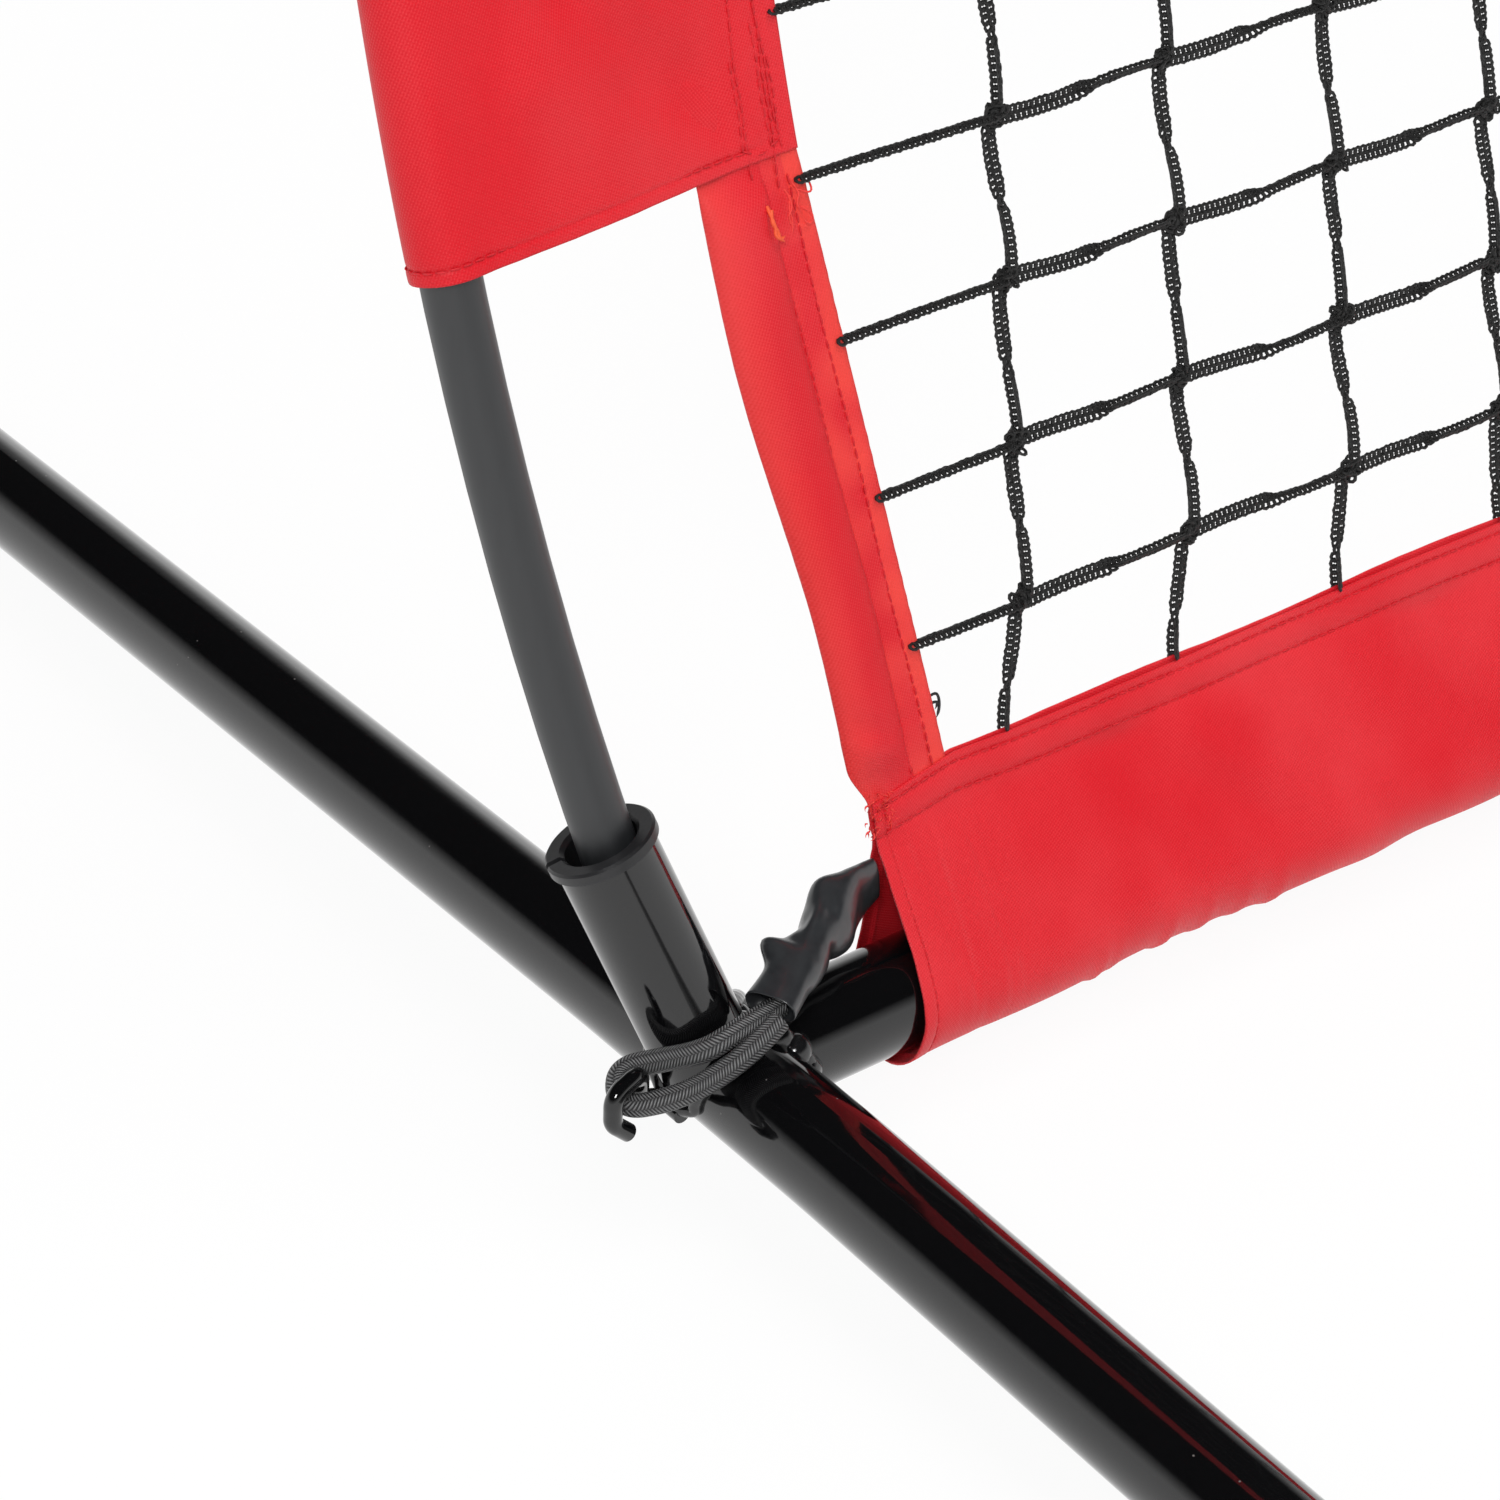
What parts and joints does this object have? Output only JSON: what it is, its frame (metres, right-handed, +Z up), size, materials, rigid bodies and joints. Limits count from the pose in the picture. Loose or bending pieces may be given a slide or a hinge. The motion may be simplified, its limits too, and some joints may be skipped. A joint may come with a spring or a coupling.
{
  "type": "pitch back rebounder",
  "caption": "Free-standing pitch back rebounder: bowed poles in a steel base hold a leaning square-mesh net in red cloth sleeves, tensioned by elastic corner loops.",
  "frame": {"origin": "on the floor, under the middle of the whole rebounder", "axes": "+Z up, X along the crossbar, +Y behind the net, the way that the net leans; a ball comes from -Y"},
  "size_m": [1.2938, 1.0078, 1.6763],
  "materials": {
    "black_steel": "gloss powder coat",
    "plated_steel": "satin zinc",
    "fibreglass": "satin",
    "black_plastic": "satin",
    "black_rubber": "matt",
    "shrink_tube": "satin",
    "elastic_cord": "braided",
    "net_cord": "knotless braid",
    "black_webbing": "woven",
    "red_oxford": "woven, slight sheen"
  },
  "bodies": {
    "base": {"bottom_sleeve": "red_oxford", "left_back_foot_cap": "black_rubber", "left_button_spring": "plated_steel", "left_corner_strip": "red_oxford", "left_crossbar_stub": "black_steel", "left_crossbar_tube": "black_steel", "left_foot_tube": "black_steel", "left_front_foot_cap": "black_rubber", "left_loop_cord": "elastic_cord", "left_lower_ferrule": "plated_steel", "left_lower_pole": "fibreglass", "left_middle_pole": "fibreglass", "left_net_hook": "black_steel", "left_net_tab": "black_webbing", "left_pole_plug": "black_plastic", "left_pole_shock_cord": "elastic_cord", "left_pole_tip_cap": "black_plastic", "left_shrink_sleeve": "shrink_tube", "left_side_sleeve": "red_oxford", "left_socket_bush": "black_plastic", "left_socket_tube": "black_steel", "left_upper_ferrule": "plated_steel", "left_upper_pole": "fibreglass", "left_weld_beads": "black_steel", "middle_button_spring": "plated_steel", "net_level_cords": "net_cord", "net_upright_cords": "net_cord", "right_back_foot_cap": "black_rubber", "right_button_spring": "plated_steel", "right_corner_strip": "red_oxford", "right_crossbar_stub": "black_steel", "right_crossbar_tube": "black_steel", "right_foot_tube": "black_steel", "right_front_foot_cap": "black_rubber", "right_loop_cord": "elastic_cord", "right_lower_ferrule": "plated_steel", "right_lower_pole": "fibreglass", "right_middle_pole": "fibreglass", "right_net_hook": "black_steel", "right_net_tab": "black_webbing", "right_pole_plug": "black_plastic", "right_pole_shock_cord": "elastic_cord", "right_pole_tip_cap": "black_plastic", "right_shrink_sleeve": "shrink_tube", "right_side_sleeve": "red_oxford", "right_socket_bush": "black_plastic", "right_socket_tube": "black_steel", "right_upper_ferrule": "plated_steel", "right_upper_pole": "fibreglass", "right_weld_beads": "black_steel", "top_band": "red_oxford"},
    "left_button": {"left_snap_button": "plated_steel"},
    "middle_button": {"middle_snap_button": "plated_steel"},
    "right_button": {"right_snap_button": "plated_steel"}
  },
  "joints": [
    {"name": "left_button_press", "type": "slide", "parent": "base", "child": "left_button", "axis": [0, 0, -1], "range_m": [0, 0.0042], "stiffness_N_per_m": 900, "springref_m": -0.003, "deforming": ["left_button_spring"]},
    {"name": "middle_button_press", "type": "slide", "parent": "base", "child": "middle_button", "axis": [0, 0, -1], "range_m": [0, 0.0042], "stiffness_N_per_m": 900, "springref_m": -0.003, "deforming": ["middle_button_spring"]},
    {"name": "right_button_press", "type": "slide", "parent": "base", "child": "right_button", "axis": [0, 0, -1], "range_m": [0, 0.0042], "stiffness_N_per_m": 900, "springref_m": -0.003, "deforming": ["right_button_spring"]}
  ]
}
